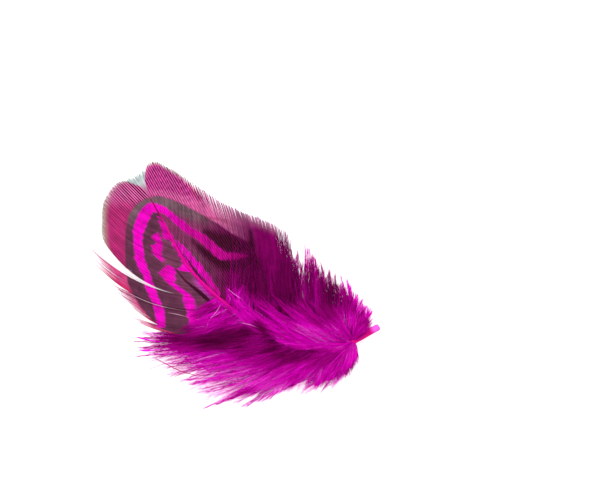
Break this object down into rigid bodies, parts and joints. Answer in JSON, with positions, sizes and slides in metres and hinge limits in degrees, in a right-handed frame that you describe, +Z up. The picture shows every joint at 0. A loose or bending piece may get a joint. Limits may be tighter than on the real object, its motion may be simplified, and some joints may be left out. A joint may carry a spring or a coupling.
{
  "type": "pheasant feather",
  "caption": "Dyed fuchsia pheasant body feather lying outer side up, with a notched banded vane, split barb bundles and downy lower barbs",
  "frame": {"origin": "centre of the bounding box in plan, on the surface that the feather lies on", "axes": "+Z up from the surface, towards the feather's outer side; +X towards the side of the quill end; +Y towards the side of the vane's tip"},
  "size_m": [0.0581, 0.0492, 0.0079],
  "materials": {
    "feather": "dyed keratin: soft matte down, slightly silky vane and a glossier quill"
  },
  "bodies": {
    "root": {"feather": "feather"}
  },
  "joints": []
}
